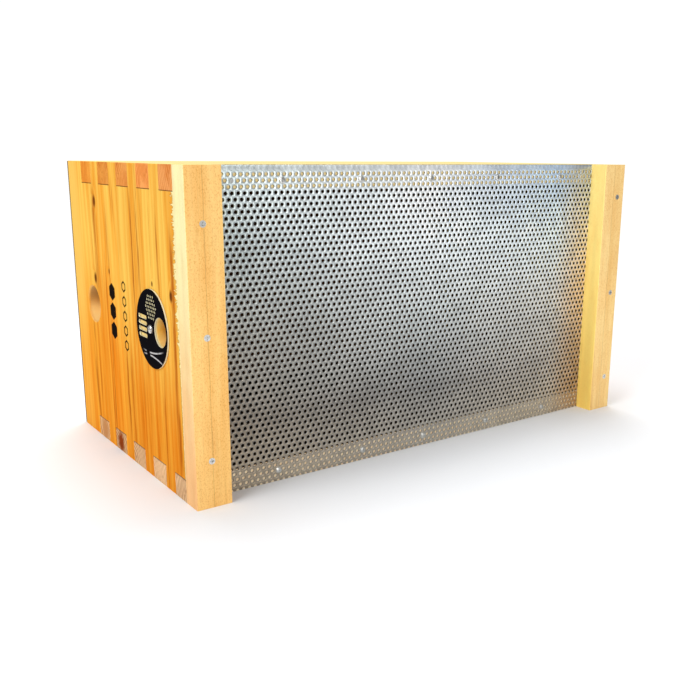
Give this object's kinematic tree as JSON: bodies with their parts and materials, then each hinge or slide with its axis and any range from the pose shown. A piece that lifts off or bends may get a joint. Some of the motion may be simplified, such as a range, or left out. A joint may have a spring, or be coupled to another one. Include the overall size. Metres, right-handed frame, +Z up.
{
  "type": "langstroth nucleus hive box",
  "caption": "Narrow finger-jointed wooden hive box with a perforated metal floor, floor battens, a rotating entrance disc, round finger holds and a thin lift-off cover board.",
  "frame": {"origin": "on the resting face, the outer face of the lower side board, halfway along the box and halfway between its floor plane and the outside of its cover board, with the box lying on one long side", "axes": "+X from the entrance end to the rear end, +Y from the perforated floor to the open top of the hive, +Z up from the ground as the box lies; in use as a hive the box is turned so that its -Y face is underneath"},
  "size_m": [0.5092, 0.2802, 0.27],
  "materials": {
    "entrance_board_wood": "oiled pine with upright grain",
    "rear_board_wood": "oiled pine with upright grain",
    "side_board_wood": "oiled pine, grain along the box",
    "lower_board_wood": "oiled pine, grain along the box",
    "left_batten_wood": "pine batten, grain across the box",
    "right_batten_wood": "pine batten, grain across the box",
    "cover_hardboard": "brown hardboard",
    "galvanised_sheet": "dull galvanised, perforated",
    "disc_black": "satin black",
    "zinc_screw": "bright zinc"
  },
  "bodies": {
    "hive_box": {"entrance_end_board": "entrance_board_wood", "rear_end_board": "rear_board_wood", "upper_side_board": "side_board_wood", "lower_side_board": "lower_board_wood", "perforated_floor_sheet": "galvanised_sheet", "left_floor_batten": "left_batten_wood", "right_floor_batten": "right_batten_wood", "disc_pivot_screw": "zinc_screw", "left_batten_upper_screw": "zinc_screw", "left_batten_middle_screw": "zinc_screw", "left_batten_lower_screw": "zinc_screw", "right_batten_upper_screw": "zinc_screw", "right_batten_middle_screw": "zinc_screw", "right_batten_lower_screw": "zinc_screw", "upper_sheet_screw_1": "zinc_screw", "upper_sheet_screw_2": "zinc_screw", "upper_sheet_screw_3": "zinc_screw", "upper_sheet_screw_4": "zinc_screw", "upper_sheet_screw_5": "zinc_screw", "lower_sheet_screw_1": "zinc_screw", "lower_sheet_screw_2": "zinc_screw", "lower_sheet_screw_3": "zinc_screw", "lower_sheet_screw_4": "zinc_screw", "lower_sheet_screw_5": "zinc_screw", "left_sheet_tack": "zinc_screw", "right_sheet_tack": "zinc_screw"},
    "entrance_disc_body": {"entrance_disc": "disc_black"},
    "cover_body": {"cover_board": "cover_hardboard"}
  },
  "joints": [
    {"name": "entrance_disc_turn", "type": "hinge", "parent": "hive_box", "child": "entrance_disc_body", "pos_m": [-0.2534, -0.0765, 0.136], "axis": [-1, 0, 0], "continuous": true},
    {"name": "cover_board_lift", "type": "slide", "parent": "hive_box", "child": "cover_body", "axis": [0, 1, 0], "range_m": [0, 0.3]}
  ]
}
